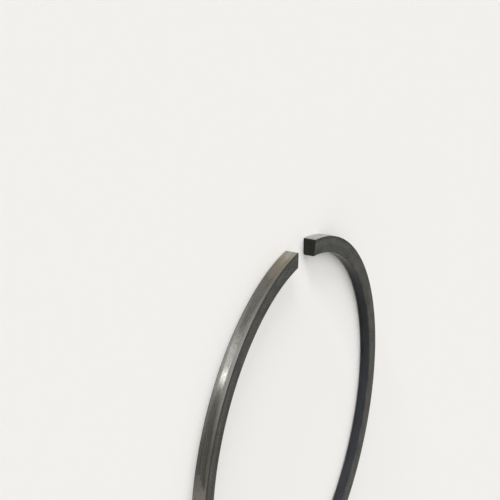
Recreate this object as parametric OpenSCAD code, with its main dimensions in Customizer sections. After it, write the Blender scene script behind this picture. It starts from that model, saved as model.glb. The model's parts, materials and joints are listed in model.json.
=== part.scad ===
// Barrel-faced keystone compression ring, drawn in its free, open state.
// It lies flat: the axis is +Z, the middle of its width is at Z = 0, and +Y runs through the end gap.

/* [Cylinder] */
// Diameter of the cylinder that the closed ring seals
bore_d = 105; // [80:0.5:130]
// Gap left between the butt ends when the ring is closed into the cylinder
closed_gap = 0.4; // [0.2:0.05:0.8]

/* [Ring] */
// Axial width, measured where the flanks would meet the running face
ring_width = 3.5; // [2.5:0.1:4.5]
// Radial wall thickness
wall = 4.5; // [3.5:0.1:5.5]
// Gap between the butt ends of the free ring, along the middle of the wall
free_gap = 10.3; // [6:0.1:16]

/* [Section] */
// Angle between the two tapered flanks, in degrees
keystone_angle = 6; // [0:0.5:15]
// How far the barrelled running face falls back across half the width
barrel_drop = 0.04; // [0.01:0.005:0.08]
// Chamfer between the running face and each flank
outer_chamfer = 0.12; // [0.05:0.01:0.4]
// Chamfer between the bore and each flank
inner_chamfer = 0.2; // [0.05:0.05:0.5]

/* [Butt ends] */
// Bevel between the running face and each butt end
butt_bevel = 0.25; // [0.1:0.05:0.6]

/* [Hidden] */

// Facets of a full turn of the ring, and of the large circle that the barrel is an arc of
turn_facets = 360;
barrel_facets = 1440;

// Bending keeps the length of the wall's middle line, so that length and the free gap give the free radius
closed_middle_r = (bore_d - wall) / 2;
middle_length = 2 * PI * closed_middle_r - closed_gap;
free_middle_r = (middle_length + free_gap) / (2 * PI);
outer_r = free_middle_r + wall / 2;
inner_r = free_middle_r - wall / 2;

// Half of the angle that the free gap takes up, seen from the ring's centre
half_gap_angle = free_gap / free_middle_r * 90 / PI;

// The butt ends are parallel in the cylinder. Under even pressure a ring bends least at its ends,
// so when it springs open each end turns by only two thirds of that half angle.
butt_angle = half_gap_angle * 2 / 3;
butt_middle = free_middle_r * [sin(half_gap_angle), cos(half_gap_angle)];

// The barrel is one arc, with its crown at the middle of the width
barrel_r = (pow(ring_width / 2, 2) + pow(barrel_drop, 2)) / (2 * barrel_drop);

// The barrel takes a little off the corner, so the chamfer is cut deeper by that much
outer_cut = barrel_drop + outer_chamfer;

// Half of the width at radius r: each flank leans by half the keystone angle
function half_width(r) = ring_width / 2 - (outer_r - r) * tan(keystone_angle / 2);

// Tapered wall with chamfered corners, thinner at the bore than at the running face
module keystone_section() {
    outer_flank_r = outer_r - outer_cut;
    inner_flank_r = inner_r + inner_chamfer;
    upper = [
        [outer_r, half_width(outer_r) - outer_cut],
        [outer_flank_r, half_width(outer_flank_r)],
        [inner_flank_r, half_width(inner_flank_r)],
        [inner_r, half_width(inner_r) - inner_chamfer]
    ];
    lower = [for (i = [len(upper) - 1 : -1 : 0]) [upper[i].x, -upper[i].y]];
    polygon(concat(upper, lower));
}

module ring_section() {
    intersection() {
        keystone_section();
        translate([outer_r - barrel_r, 0]) circle(r = barrel_r, $fn = barrel_facets);
    }
}

// Half of the block that opens the gap, with its side along one butt end and a bevel at the running face
module half_gap_cut() {
    butt_direction = [sin(butt_angle), cos(butt_angle)];
    inner_corner = butt_middle - wall * butt_direction;
    bevel_start = butt_middle + (wall / 2 - butt_bevel) * butt_direction;
    bevel_end = bevel_start + 2 * butt_bevel * [cos(45 - butt_angle), sin(45 - butt_angle)];
    clear_y = outer_r + wall;
    linear_extrude(height = 2 * ring_width, center = true)
        polygon([
            [0, inner_corner.y], inner_corner, bevel_start, bevel_end,
            [bevel_end.x, clear_y], [0, clear_y]
        ]);
}

module compression_ring() {
    color("dimgray")
    difference() {
        rotate_extrude($fn = turn_facets) ring_section();
        half_gap_cut();
        mirror([1, 0, 0]) half_gap_cut();
    }
}

compression_ring();
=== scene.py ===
"""A split keystone compression ring on a pale floor: its mesh, its finishes, the lights and the camera."""
import json
import math

import bpy
from mathutils import Matrix, Vector


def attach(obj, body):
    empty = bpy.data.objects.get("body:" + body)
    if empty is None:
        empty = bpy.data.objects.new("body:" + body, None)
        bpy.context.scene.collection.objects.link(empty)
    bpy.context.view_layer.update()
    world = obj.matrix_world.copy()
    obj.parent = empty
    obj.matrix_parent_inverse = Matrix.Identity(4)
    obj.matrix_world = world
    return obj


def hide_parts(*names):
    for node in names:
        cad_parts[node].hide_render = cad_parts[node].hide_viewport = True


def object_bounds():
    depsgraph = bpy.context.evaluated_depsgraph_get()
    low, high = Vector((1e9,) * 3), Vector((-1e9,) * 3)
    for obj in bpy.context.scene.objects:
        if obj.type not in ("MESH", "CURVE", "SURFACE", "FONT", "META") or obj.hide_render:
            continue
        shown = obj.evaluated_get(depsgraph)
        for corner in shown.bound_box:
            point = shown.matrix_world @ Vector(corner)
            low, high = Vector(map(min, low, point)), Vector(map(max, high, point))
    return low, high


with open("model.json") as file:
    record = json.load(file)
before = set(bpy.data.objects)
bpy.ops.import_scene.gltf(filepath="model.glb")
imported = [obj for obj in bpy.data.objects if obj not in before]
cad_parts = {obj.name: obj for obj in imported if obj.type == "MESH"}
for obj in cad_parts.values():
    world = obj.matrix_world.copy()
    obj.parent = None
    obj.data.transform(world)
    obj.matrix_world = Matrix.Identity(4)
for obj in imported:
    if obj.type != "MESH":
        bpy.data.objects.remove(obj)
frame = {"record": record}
cad_low, cad_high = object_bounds()

MM = 0.001
NODE = "compression_ring"

# Sizes that the ring's box and its bore give
bore_mount = next(mount for mount in frame["record"]["mounts"] if mount["name"] == "bore")
inner_r = bore_mount["dims"]["r_mm"] * MM
outer_r = cad_high.x
top_z = cad_high.z
wall = outer_r - inner_r
middle_r = (outer_r + inner_r) / 2

# Section: the lean of each flank, the fall of the barrel, the chamfers and the rounding of the edges
flank_lean = math.radians(3)
barrel_drop = 0.04 * MM
outer_chamfer = 0.12 * MM
inner_chamfer = 0.2 * MM
edge_round = 0.05 * MM

# Butt ends: the gap along the middle of the wall, the share of its half angle by which each end leans, and
# the bevel at the running face
free_gap = 10.3 * MM
butt_lean_share = 2 / 3
butt_bevel = 0.25 * MM
bevel_lean = math.radians(45)

# Rim of a butt end: its rounding is finer than that of the edges, so that no corner of it closes to a point
rim_round = 0.6 * edge_round

# How finely the mesh follows the turn, half of the barrel, each rounded edge and the rim of a butt end
turn_steps = 720
barrel_steps = 6
round_steps = 3
rim_steps = 3

# The finishes, in the order of the mesh's material slots
LAPPED_FACE, FLANK, BORE, BUTT_END = range(4)

# The mesh's two maps: lengths along and round the ring in millimetres, and strips on a sheet for baking
LENGTHS_MAP = "lengths"
BAKE_MAP = "OFBake"
bake_strips = 4
bake_margin = 0.5 * MM


# Butt ends, as lines seen along the ring's axis

half_gap_angle = free_gap / middle_r / 2
butt_angle = half_gap_angle * butt_lean_share
bevel_angle = butt_angle + bevel_lean
butt_middle = middle_r * Vector((math.sin(half_gap_angle), math.cos(half_gap_angle)))
bevel_start = butt_middle + (wall / 2 - butt_bevel) * Vector((math.sin(butt_angle), math.cos(butt_angle)))
bevel_r = bevel_start.length


def angle_on_line(point, line_angle, r):
    """Angle from +Y at which a line through point, leaning by line_angle from +Y, reaches radius r."""
    point_angle = math.atan2(point.x, point.y)
    return line_angle + math.asin(point.length * math.sin(point_angle - line_angle) / r)


def end_angle(r):
    """Half of the angle that the gap takes up at radius r."""
    if r < bevel_r:
        return angle_on_line(butt_middle, butt_angle, r)
    return angle_on_line(bevel_start, bevel_angle, r)


def end_normal(r, side):
    """Normal of the butt end at radius r. side is 1 for the end at +X and -1 for the other."""
    angle = butt_angle if r < bevel_r else bevel_angle
    return Vector((-side * math.cos(angle), math.sin(angle), 0))


# Outline of the section

# Radii of the lines along each flank: a pair that keeps the bevel's edge crisp, and the thirds of the wall
bevel_edge = 0.02 * MM
flank_radii = [bevel_r + bevel_edge, bevel_r - bevel_edge, middle_r + wall / 6, middle_r - wall / 6]


def half_width(r):
    """Half of the ring's width at radius r, where the leaning flank is."""
    widest = top_z + (barrel_drop + outer_chamfer) * math.tan(flank_lean)
    return widest - (outer_r - r) * math.tan(flank_lean)


barrel_r = (half_width(outer_r) ** 2 + barrel_drop ** 2) / (2 * barrel_drop)


def barrel_point(z):
    """Point and normal of the running face at height z: one arc, with its crown at mid-width."""
    angle = math.asin(z / barrel_r)
    normal = Vector((math.cos(angle), math.sin(angle)))
    return Vector((outer_r - barrel_r, 0)) + barrel_r * normal, normal


def rounded_corner(before, corner, after):
    """Points and normals of the small arc that rounds a corner of the outline."""
    back = (before - corner).normalized()
    ahead = (after - corner).normalized()
    half_angle = back.angle(ahead) / 2
    centre = corner + (back + ahead).normalized() * edge_round / math.sin(half_angle)
    first = corner + back * edge_round / math.tan(half_angle) - centre
    last = corner + ahead * edge_round / math.tan(half_angle) - centre
    normals = [first.lerp(last, step / round_steps).normalized() for step in range(round_steps + 1)]
    return [(centre + normal * edge_round, normal) for normal in normals]


def upper_outline():
    """Points from the crown over the upper flank to the middle of the bore, each with its normal and the
    finish of the stretch that follows. A point is (radius, height)."""
    outer_flank_r = outer_r - barrel_drop - outer_chamfer
    inner_flank_r = inner_r + inner_chamfer
    face_edge, _ = barrel_point(half_width(outer_r) - outer_chamfer)
    flank_start = Vector((outer_flank_r, half_width(outer_flank_r)))
    flank_end = Vector((inner_flank_r, half_width(inner_flank_r)))
    bore_edge = Vector((inner_r, half_width(inner_r) - inner_chamfer))
    bore_middle = Vector((inner_r, 0))

    barrel = [barrel_point(face_edge.y * step / barrel_steps) for step in range(barrel_steps)]
    outline = [(point, normal, LAPPED_FACE) for point, normal in barrel]
    corners = [barrel[-1][0], face_edge, flank_start, flank_end, bore_edge, bore_middle]
    finishes = [FLANK, FLANK, FLANK, BORE]
    for before, corner, after, finish in zip(corners, corners[1:], corners[2:], finishes):
        arc = rounded_corner(before, corner, after)
        outline += [(point, normal, finish) for point, normal in arc]
        if corner is flank_start:
            flank_normal = arc[-1][1]
            outline += [(Vector((r, half_width(r))), flank_normal, FLANK) for r in flank_radii]
    outline.append((bore_middle, Vector((-1, 0)), BORE))
    return outline


def whole_outline():
    """The closed outline: the upper half, then its mirror image from the bore back to the crown."""
    upper = upper_outline()
    outline = list(upper)
    for i in range(len(upper) - 2, 0, -1):
        point, normal, _ = upper[i]
        finish_after = upper[i - 1][2]
        outline.append((Vector((point.x, -point.y)), Vector((normal.x, -normal.y)), finish_after))
    return outline


# Loops of the ring's skin

def turned(r, z, turn):
    """A point at radius r and height z, turned from the middle of the gap towards -X."""
    return Vector((-r * math.sin(turn), r * math.cos(turn), z))


def rim_loop(outline, side, share):
    """A loop of the rounded rim of a butt end. share runs from 0 at the skin to 1 at the end face."""
    lean = share * math.pi / 2
    set_back = rim_round * (1 - math.sin(lean))
    inset = rim_round * (1 - math.cos(lean))
    loop = []
    for point, normal, _ in outline:
        r, z = point - normal * inset
        gap_turn = end_angle(r) + set_back / r
        turn = gap_turn if side < 0 else 2 * math.pi - gap_turn
        outward = turned(normal.x, normal.y, turn)
        rim_normal = outward * math.cos(lean) + end_normal(r, side) * math.sin(lean)
        loop.append((turned(r, z, turn), rim_normal.normalized()))
    return loop


def skin_loop(outline, share):
    """A loop of the skin. share runs from 0 beside one butt end to 1 beside the other."""
    loop = []
    for point, normal, _ in outline:
        r, z = point
        first_turn = end_angle(r) + rim_round / r
        turn = first_turn + (2 * math.pi - 2 * first_turn) * share
        loop.append((turned(r, z, turn), turned(normal.x, normal.y, turn)))
    return loop


def ring_loops(outline):
    """Loops of (point, normal) from the butt end at -X round to the one at +X."""
    rim_shares = [step / rim_steps for step in range(rim_steps, 0, -1)]
    loops = [rim_loop(outline, -1, share) for share in rim_shares]
    loops += [skin_loop(outline, step / turn_steps) for step in range(turn_steps + 1)]
    loops += [rim_loop(outline, 1, share) for share in reversed(rim_shares)]
    return loops


def running_total(points):
    """Length along a row of points, up to each of them."""
    lengths = [0.0]
    for before, after in zip(points, points[1:]):
        lengths.append(lengths[-1] + (after - before).length)
    return lengths


# The ring's mesh

class BakeSheet:
    """Square sheet for baking: the skin lies on it in strips, one above the other, the butt ends on top."""

    def __init__(self, ring_length, girth):
        self.girth = girth
        self.strip_length = ring_length / bake_strips
        self.strip_pitch = girth + bake_margin
        self.end_pitch = 2 * wall
        height = bake_strips * self.strip_pitch + half_width(outer_r) * 2
        self.side = max(self.strip_length, height) + 2 * bake_margin

    def strip_at(self, along):
        """Number of the strip that a length along the ring falls on."""
        return min(int(along / self.strip_length), bake_strips - 1)

    def skin_place(self, strip, along, around):
        """Place of a point of the skin, from its lengths along and round the ring."""
        return along - strip * self.strip_length, around + self.girth / 2 + strip * self.strip_pitch

    def end_place(self, end, across, up):
        """Place of a point of a butt end, from its lengths across the wall and up from its middle."""
        return across + end * self.end_pitch, up + half_width(outer_r) + bake_strips * self.strip_pitch


class Faces:
    """The ring's faces, each with its finish and the places of its corners on the two maps."""

    def __init__(self):
        self.corners = []
        self.finishes = []
        self.lengths = []
        self.places = []

    def add(self, corners, finish, lengths, places):
        """Adds a face, given the numbers of its corners and where each of them is on the two maps."""
        self.corners.append(corners)
        self.finishes.append(finish)
        self.lengths += lengths
        self.places += places


def add_skin(faces, sheet, outline, along, around):
    """Adds the skin, quad by quad, with lengths from the butt end at -X and, both ways, from the crown."""
    count = len(outline)
    for i in range(len(along) - 1):
        strip = sheet.strip_at(along[i])
        for j in range(count):
            k = (j + 1) % count
            wrap = around[-1] if j >= count // 2 else 0
            near = around[j] - wrap
            far = around[j + 1] - wrap
            corners = (i * count + j, (i + 1) * count + j, (i + 1) * count + k, i * count + k)
            lengths = [(along[i], near), (along[i + 1], near), (along[i + 1], far), (along[i], far)]
            places = [sheet.skin_place(strip, *pair) for pair in lengths]
            faces.add(corners, outline[j][2], lengths, places)


def add_butt_ends(faces, sheet, outline, loop_count):
    """Adds each butt end as a ladder of strips between the upper and the lower half of the outline. The
    last strip takes in the bore's middle."""
    count = len(outline)
    half = count // 2
    for end, first in enumerate((0, (loop_count - 1) * count)):
        for j in range(half - 1):
            innermost = half if j == half - 2 else j + 1
            rungs = dict.fromkeys((j, j + 1, innermost, count - j - 1, (count - j) % count))
            strip = list(rungs) if end == 0 else list(reversed(rungs))
            lengths = [(outline[i][0].x - inner_r, outline[i][0].y) for i in strip]
            places = [sheet.end_place(end, *pair) for pair in lengths]
            faces.add([first + i for i in strip], BUTT_END, lengths, places)


def add_map(mesh, name, places, unit, margin=0.0):
    """Adds a map with the place of each corner of each face."""
    layer = mesh.uv_layers.new(name=name)
    layer.uv.foreach_set("vector", [(value + margin) / unit for place in places for value in place])


def build_ring():
    """The ring as one object, and its length along the crown in millimetres."""
    outline = whole_outline()
    loops = ring_loops(outline)
    along = running_total([loop[0][0] for loop in loops])
    around = running_total([point for point, _, _ in outline + outline[:1]])
    sheet = BakeSheet(along[-1], around[-1])
    faces = Faces()
    add_skin(faces, sheet, outline, along, around)
    add_butt_ends(faces, sheet, outline, len(loops))

    mesh = bpy.data.meshes.new("ring")
    mesh.from_pydata([point for loop in loops for point, _ in loop], [], faces.corners)
    mesh.polygons.foreach_set("material_index", faces.finishes)
    mesh.polygons.foreach_set("use_smooth", [True] * len(faces.corners))
    add_map(mesh, LENGTHS_MAP, faces.lengths, MM)
    add_map(mesh, BAKE_MAP, faces.places, sheet.side, bake_margin)
    mesh.normals_split_custom_set_from_vertices([normal for loop in loops for _, normal in loop])
    ring = bpy.data.objects.new("ring", mesh)
    bpy.context.scene.collection.objects.link(ring)
    return ring, along[-1] / MM


# Shader nodes

def add_node(tree, kind, inputs, output=0, **settings):
    """Adds a shader node with its inputs set or linked, and gives one of its outputs."""
    made = tree.nodes.new("ShaderNode" + kind)
    for name, value in settings.items():
        setattr(made, name, value)
    for socket, value in inputs.items():
        if isinstance(value, bpy.types.NodeSocket):
            tree.links.new(value, made.inputs[socket])
        else:
            made.inputs[socket].default_value = value
    return made.outputs[output]


class Finish:
    """A material with one principled shader, and short ways to add the nodes that drive it. Lengths along
    and round the ring are in millimetres."""

    def __init__(self, name, **values):
        self.material = bpy.data.materials.new(name)
        self.material.use_nodes = True
        self.tree = self.material.node_tree
        self.shader = self.tree.nodes["Principled BSDF"]
        for socket, value in values.items():
            self.shader.inputs[socket.replace("_", " ")].default_value = value

    def drive(self, socket, output):
        """Links a node's output to one of the shader's sockets."""
        self.tree.links.new(output, self.shader.inputs[socket])

    def lengths(self):
        """Millimetres along the ring from the butt end at -X, and round the section from the crown."""
        place = add_node(self.tree, "UVMap", {}, uv_map=LENGTHS_MAP)
        parts = add_node(self.tree, "SeparateXYZ", {0: place}).node
        return parts.outputs["X"], parts.outputs["Y"]

    def sums(self, operation, *values):
        """One step of arithmetic."""
        return add_node(self.tree, "Math", dict(enumerate(values)), operation=operation)

    def grain(self, along_mm, around_mm, detail=3.0):
        """Noise from 0 to 1 whose spots are about so many millimetres long and wide."""
        along, around = self.lengths()
        x = self.sums("DIVIDE", along, along_mm)
        y = self.sums("DIVIDE", around, around_mm)
        place = add_node(self.tree, "CombineXYZ", {"X": x, "Y": y})
        return add_node(self.tree, "TexNoise", {"Vector": place, "Scale": 1.0, "Detail": detail})

    def rise(self, value, start, stop, low=0.0, high=1.0):
        """low where value is before start, high past stop, and a smooth step between them."""
        inputs = {"Value": value, "From Min": start, "From Max": stop, "To Min": low, "To Max": high}
        return add_node(self.tree, "MapRange", inputs, interpolation_type="SMOOTHSTEP")

    def stretch(self, share, low, high):
        """A share from 0 to 1, as a number from low to high."""
        return self.sums("MULTIPLY_ADD", share, high - low, low)

    def blend(self, share, first, second):
        """Mixes two colours. The node's sockets for them come after those for numbers and vectors."""
        share_in, first_in, second_in, result_out = 0, 6, 7, 2
        inputs = {share_in: share}
        for socket, colour in ((first_in, first), (second_in, second)):
            inputs[socket] = colour if isinstance(colour, bpy.types.NodeSocket) else (*colour, 1)
        return add_node(self.tree, "Mix", inputs, result_out, data_type="RGBA")

    def lay(self, under, over, value, start, stop, most=1.0):
        """Lays one colour over another: none where value is before start, the share most past stop."""
        return self.blend(self.rise(value, start, stop, high=most), under, over)

    def bump(self, height, depth_mm, strength):
        """Lets the shading follow a height of so many millimetres."""
        inputs = {"Height": height, "Distance": depth_mm * MM, "Strength": strength}
        self.drive("Normal", add_node(self.tree, "Bump", inputs))


# Running face

OLIVE_DARK = (0.108, 0.107, 0.090)
OLIVE_PALE = (0.144, 0.142, 0.124)
WARM_GREY = (0.195, 0.185, 0.170)
STREAK_GREY = (0.200, 0.197, 0.185)
PIT_DARK = (0.050, 0.048, 0.040)
SPECK_PALE = (0.300, 0.292, 0.270)
EDGE_REFLECTION_GREY = (0.230, 0.230, 0.218)
TIP_PALE = (0.405, 0.383, 0.330)
STAIN_BROWN = (0.290, 0.262, 0.192)
END_REFLECTION_GREY = (0.385, 0.380, 0.362)
WORN_GREY = (0.252, 0.243, 0.219)

# Millimetres from the butt end at +X where its smoother stretch, painted paler there as a reflection, sets
# in, and from which on it is whole
end_stretch_start = 16
end_stretch_whole = 6

# Millimetres by which the borders of what lies on the face run in and out, by which the smooth band in its
# middle lies below the crown, and by which the dark line on that band lies above the crown
ragged_reach = 2
band_drop = 0.1
line_rise = 0.35


def lapped_metal(finish, clouds, around, from_stained_end):
    """Olive grey with clouds, a little warmer towards the end at -X, and with a dark line further on."""
    colour = finish.blend(clouds, OLIVE_DARK, OLIVE_PALE)
    colour = finish.lay(colour, WARM_GREY, from_stained_end, start=31, stop=22, most=0.4)
    off_line = finish.sums("ABSOLUTE", finish.sums("SUBTRACT", around, line_rise))
    line_most = finish.rise(from_stained_end, start=48, stop=56, high=0.3)
    return finish.lay(colour, PIT_DARK, off_line, start=0.75, stop=0.2, most=line_most)


def worn_share(finish, from_stained_end):
    """Share of wear, from 0 to 1: on the way from the end at -X, a patch sets in sharply and then fades."""
    fading = finish.rise(from_stained_end, start=95, stop=75)
    return finish.rise(from_stained_end, start=63, stop=66, high=fading)


def streaked(finish, colour):
    """Streaks round the turn, pits and pale specks."""
    streaks = finish.grain(along_mm=25, around_mm=0.25)
    specks = finish.grain(along_mm=0.7, around_mm=0.35)
    colour = finish.lay(colour, STREAK_GREY, streaks, start=0.35, stop=0.65, most=0.2)
    colour = finish.lay(colour, PIT_DARK, specks, start=0.48, stop=0.30, most=0.45)
    return finish.lay(colour, SPECK_PALE, specks, start=0.54, stop=0.72, most=0.25)


def painted_edge_reflection(finish, colour, around, from_stained_end):
    """Paler along the edges, and most so by the end at -X: a painted reflection."""
    upper_most = finish.rise(from_stained_end, start=46, stop=62, low=0.5, high=0.15)
    lower_most = finish.rise(from_stained_end, start=40, stop=50, low=0.3, high=0.17)
    # Painted reflection: both edges are laid paler, the upper one most.
    colour = finish.lay(colour, EDGE_REFLECTION_GREY, around, start=0.4, stop=1.5, most=upper_most)
    return finish.lay(colour, EDGE_REFLECTION_GREY, around, start=-0.3, stop=-1.2, most=lower_most)


def paler_ends(finish, colour, from_stained_end, from_plus_x_end):
    """Paler by the butt ends, with a brown stain behind the tip of the one at -X; by the one at +X the
    paleness is a painted reflection.
    """
    stain = finish.lay(TIP_PALE, STAIN_BROWN, from_stained_end, start=2, stop=6)
    # Painted reflection: the smoother stretch by the end at +X is laid paler, as if mirroring the pale
    # floor.
    colour = finish.lay(colour, END_REFLECTION_GREY, from_plus_x_end, end_stretch_start, end_stretch_whole)
    return finish.lay(colour, stain, from_stained_end, start=14.5, stop=5.5, most=0.85)


def lapped_roughness(finish, clouds, around, from_plus_x_end, worn):
    """Smooth on the stretch by the end at +X and in a band along the middle, where the face touches the
    cylinder, but not where it is worn."""
    off_band = finish.sums("ABSOLUTE", finish.sums("ADD", around, band_drop))
    off_band = finish.sums("ADD", off_band, finish.stretch(clouds, low=0.06, high=-0.06))
    rough = finish.rise(off_band, start=0.45, stop=1.0, low=0.33, high=0.90)
    rough = finish.rise(worn, start=0, stop=1, low=rough, high=0.6)
    rough_at_most = finish.rise(from_plus_x_end, end_stretch_start, end_stretch_whole, low=1.0, high=0.27)
    rough = finish.sums("MINIMUM", rough, rough_at_most)
    return finish.sums("ADD", rough, finish.stretch(clouds, low=-0.02, high=0.02))


def lapped_face(ring_length):
    """Running face: satin metal lapped round the turn, so that its highlights spread across the face."""
    finish = Finish("lapped_face", Metallic=1.0, Anisotropic=0.96, Anisotropic_Rotation=0.25)
    along, around = finish.lengths()
    clouds = finish.rise(finish.grain(along_mm=5, around_mm=1.5), start=0.3, stop=0.7)
    ragged = finish.stretch(clouds, low=-ragged_reach, high=ragged_reach)
    from_stained_end = finish.sums("ADD", along, ragged)
    from_plus_x_end = finish.sums("SUBTRACT", finish.sums("ADD", ragged, ring_length), along)
    worn = worn_share(finish, from_stained_end)
    colour = lapped_metal(finish, clouds, around, from_stained_end)
    colour = streaked(finish, finish.blend(worn, colour, WORN_GREY))
    colour = painted_edge_reflection(finish, colour, around, from_stained_end)
    finish.drive("Base Color", paler_ends(finish, colour, from_stained_end, from_plus_x_end))
    finish.drive("Roughness", lapped_roughness(finish, clouds, around, from_plus_x_end, worn))
    finish.bump(finish.grain(along_mm=12, around_mm=0.04), depth_mm=0.002, strength=0.3)
    return finish.material


# Flanks, bore and butt ends

FLANK_DARK = (0.0255, 0.0256, 0.0214)
FLANK_PALE = (0.0585, 0.0587, 0.0505)
FLANK_RUBBED = (0.0840, 0.0843, 0.0745)
FLANK_EDGE_SHADE = (0.0140, 0.0140, 0.0125)
BORE_DARK = (0.0140, 0.0152, 0.0172)
BORE_PALE = (0.0238, 0.0256, 0.0285)
END_DARK = (0.0045, 0.0045, 0.0035)
END_PALE = (0.0115, 0.0113, 0.0090)


def phosphate_coat(name, dark, pale, smoothest, roughest, specular):
    """Dark matte coat on turned or ground metal, with fine grain, soft clouds and faint lines round the
    turn. Gives the finish, and its colour for more to be laid over it."""
    finish = Finish(name, Specular_IOR_Level=specular)
    grain = finish.grain(along_mm=0.4, around_mm=0.4)
    clouds = finish.grain(along_mm=5, around_mm=2)
    lines = finish.grain(along_mm=30, around_mm=0.25, detail=2)
    cloud_share = 0.6
    patchy = finish.rise(finish.sums("MULTIPLY_ADD", clouds, cloud_share, grain), start=0.6, stop=1.0)
    colour = finish.blend(patchy, dark, pale)
    finish.drive("Base Color", colour)
    finish.drive("Roughness", finish.rise(patchy, start=0, stop=1, low=roughest, high=smoothest))
    grain_height = 0.5
    finish.bump(finish.sums("MULTIPLY_ADD", grain, grain_height, lines), depth_mm=0.004, strength=0.5)
    return finish, colour


def flank_coat():
    """Warm grey coat, rubbed paler on its outer half, and with painted shade right beside the running face.
    """
    finish, colour = phosphate_coat(
        "flank_coat", FLANK_DARK, FLANK_PALE, smoothest=0.48, roughest=0.64, specular=0.12)
    _, around = finish.lengths()
    from_crown = finish.sums("ABSOLUTE", around)
    colour = finish.lay(colour, FLANK_RUBBED, from_crown, start=5.5, stop=2.2, most=0.22)
    # Painted shade: a dark band on the flank right beside the running face, where its edge turns from the
    # light.
    colour = finish.lay(colour, FLANK_EDGE_SHADE, from_crown, start=2.7, stop=1.9, most=0.65)
    finish.drive("Base Color", colour)
    return finish.material


def bore_coat():
    """Bluish black coat, smoother than the rest."""
    finish, _ = phosphate_coat(
        "bore_coat", BORE_DARK, BORE_PALE, smoothest=0.12, roughest=0.20, specular=0.12)
    return finish.material


def end_coat():
    """Nearly black coat on the sawn butt ends."""
    finish, _ = phosphate_coat(
        "end_coat", END_DARK, END_PALE, smoothest=0.52, roughest=0.62, specular=0.19)
    return finish.material


# The finished ring

ring, ring_length = build_ring()
materials = {
    LAPPED_FACE: lapped_face(ring_length),
    FLANK: flank_coat(),
    BORE: bore_coat(),
    BUTT_END: end_coat(),
}
for slot in sorted(materials):
    ring.data.materials.append(materials[slot])
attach(ring, "root")
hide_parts(NODE)


# Floor

PALE_FLOOR = (0.880, 0.864, 0.832)
floor_reach = 6.0


def add_floor():
    """A wide square floor that the ring lies on."""
    corners = [(-1, -1), (1, -1), (1, 1), (-1, 1)]
    points = [(x * floor_reach, y * floor_reach, cad_low.z) for x, y in corners]
    mesh = bpy.data.meshes.new("floor")
    mesh.from_pydata(points, [], [(0, 1, 2, 3)])
    finish = Finish("floor", Base_Color=(*PALE_FLOOR, 1), Roughness=1.0, Specular_IOR_Level=0.0)
    mesh.materials.append(finish.material)
    floor = bpy.data.objects.new("floor", mesh)
    bpy.context.scene.collection.objects.link(floor)


add_floor()


# Lights

NEUTRAL_WHITE = (1, 1, 1)
COOL_WHITE = (0.98, 0.985, 1.05)
WARM_WHITE = (1.04, 1.0, 0.92)

# The backdrop has the colour that the lit floor shows
PALE_BACKDROP = (0.905, 0.888, 0.863)
world_glow = 0.6

# The world's dark side: its azimuth, the degrees from there within which the glow fades and is gone, and
# how many times taller than wide it is
dark_azimuth = 165
dark_reach = 25
dark_core = 20
dark_tallness = 2.5


def direction(azimuth, elevation):
    """Unit vector towards an azimuth, counted from +X to +Y, and an elevation, in degrees."""
    a = math.radians(azimuth)
    e = math.radians(elevation)
    return Vector((math.cos(a) * math.cos(e), math.sin(a) * math.cos(e), math.sin(e)))


def add_lamp(name, azimuth, elevation, strength, spread, colour):
    """A far lamp that looks spread degrees wide from the ring."""
    light = bpy.data.lights.new(name, "SUN")
    light.energy = strength
    light.color = colour
    light.angle = math.radians(spread)
    lamp = bpy.data.objects.new(name, light)
    lamp.rotation_euler = direction(azimuth, elevation).to_track_quat("Z", "Y").to_euler()
    bpy.context.scene.collection.objects.link(lamp)


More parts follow.
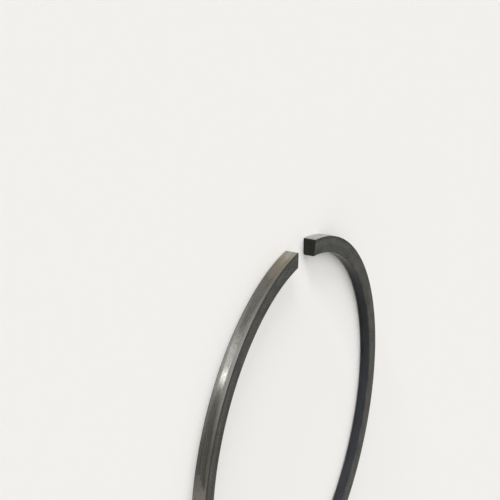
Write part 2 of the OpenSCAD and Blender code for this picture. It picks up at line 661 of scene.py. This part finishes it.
def add_world():
    """Even white glow with one dark side, and a pale backdrop for what the camera and the metal see."""
    world = bpy.data.worlds.new("studio")
    bpy.context.scene.world = world
    world.use_nodes = True
    tree = world.node_tree

    way = add_node(tree, "TexCoord", {}, "Generated")
    lowered = add_node(tree, "VectorMath", {0: way, 1: (1, 1, 1 / dark_tallness)}, operation="MULTIPLY")
    lowered = add_node(tree, "VectorMath", {0: lowered}, operation="NORMALIZE")
    dark_side = direction(dark_azimuth, 0)
    facing = add_node(tree, "VectorMath", {0: lowered, 1: dark_side}, "Value", operation="DOT_PRODUCT")
    fading = {"From Min": math.cos(math.radians(dark_reach)), "To Min": 1.0}
    gone = {"From Max": math.cos(math.radians(dark_core)), "To Max": 0.0}
    lit = add_node(tree, "MapRange", {"Value": facing, **fading, **gone}, interpolation_type="SMOOTHSTEP")

    path = add_node(tree, "LightPath", {}).node.outputs
    camera_ray = path["Is Camera Ray"]
    glossy_ray = path["Is Glossy Ray"]
    transmission_ray = path["Is Transmission Ray"]
    lit_or_seen = add_node(tree, "Math", {0: lit, 1: camera_ray}, operation="MAXIMUM")
    glow_strength = add_node(tree, "Math", {0: lit, 1: world_glow}, operation="MULTIPLY")
    glow = add_node(tree, "Background", {"Color": (*NEUTRAL_WHITE, 1), "Strength": glow_strength})
    backdrop = add_node(tree, "Background", {"Color": (*PALE_BACKDROP, 1), "Strength": lit_or_seen})
    mirrored = add_node(tree, "Math", {0: glossy_ray, 1: transmission_ray}, operation="MAXIMUM")
    seen = add_node(tree, "Math", {0: camera_ray, 1: mirrored}, operation="MAXIMUM")
    surface = add_node(tree, "MixShader", {0: seen, 1: glow, 2: backdrop})
    tree.links.new(surface, tree.nodes["World Output"].inputs["Surface"])


add_world()
add_lamp("overhead", azimuth=70, elevation=56, strength=1.16, spread=90, colour=NEUTRAL_WHITE)
add_lamp("side_box", azimuth=115, elevation=10, strength=1.95, spread=19, colour=COOL_WHITE)
add_lamp("side_strip", azimuth=129, elevation=2, strength=2.1, spread=3, colour=COOL_WHITE)
add_lamp("far_box", azimuth=196, elevation=4, strength=0.35, spread=9, colour=WARM_WHITE)


# Camera

# The point that it looks at on the plane of the ring's middle, its distance from there, and its azimuth,
# elevation and roll in degrees
camera_aim = Vector((-28.04, 61.41, 0)) * MM
camera_distance = 222.09 * MM
camera_azimuth = 158.03
camera_elevation = 25.72
camera_roll = 99.75

# Its lens and sensor in the camera's millimetres, and the nearest that it sees
camera_lens = 70.84
sensor_width = 36
near_clip = 10 * MM


def add_camera():
    """The camera, which becomes the scene's own."""
    data = bpy.data.cameras.new("camera")
    data.lens = camera_lens
    data.sensor_width = sensor_width
    data.clip_start = near_clip
    camera = bpy.data.objects.new("camera", data)
    back = direction(camera_azimuth, camera_elevation)
    roll = Matrix.Rotation(math.radians(camera_roll), 3, "Z")
    facing = back.to_track_quat("Z", "Y").to_matrix() @ roll
    camera.matrix_world = Matrix.Translation(camera_aim + back * camera_distance) @ facing.to_4x4()
    bpy.context.scene.collection.objects.link(camera)
    bpy.context.scene.camera = camera


add_camera()
bpy.context.scene.view_settings.view_transform = "Standard"
